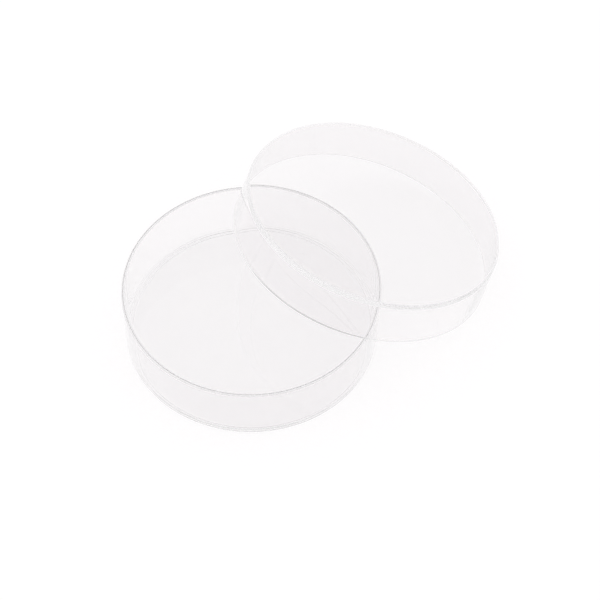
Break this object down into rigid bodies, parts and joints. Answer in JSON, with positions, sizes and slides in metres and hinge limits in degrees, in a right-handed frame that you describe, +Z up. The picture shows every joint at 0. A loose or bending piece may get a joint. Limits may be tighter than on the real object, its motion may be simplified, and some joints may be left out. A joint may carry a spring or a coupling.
{
  "type": "petri dish",
  "caption": "Clear round petri dish: a shallow flat-bottomed cup standing open, with its wider loose lid leaning on the rim and the table.",
  "frame": {"origin": "centre of the ring under the base dish, on the surface it stands on", "axes": "+Z up along the base dish's axis; +X from that axis towards the low edge of the leaning lid; the part is symmetric about the XZ plane"},
  "size_m": [0.0897, 0.06, 0.0304],
  "materials": {
    "clear_polystyrene": "clear moulded polystyrene, glossy, colourless"
  },
  "bodies": {
    "base": {"base_dish": "clear_polystyrene"},
    "lid": {"lid": "clear_polystyrene"}
  },
  "joints": [
    {"name": "lid_lift", "type": "slide", "parent": "base", "child": "lid", "axis": [0, 0, 1], "range_m": [0, 0.04]}
  ]
}
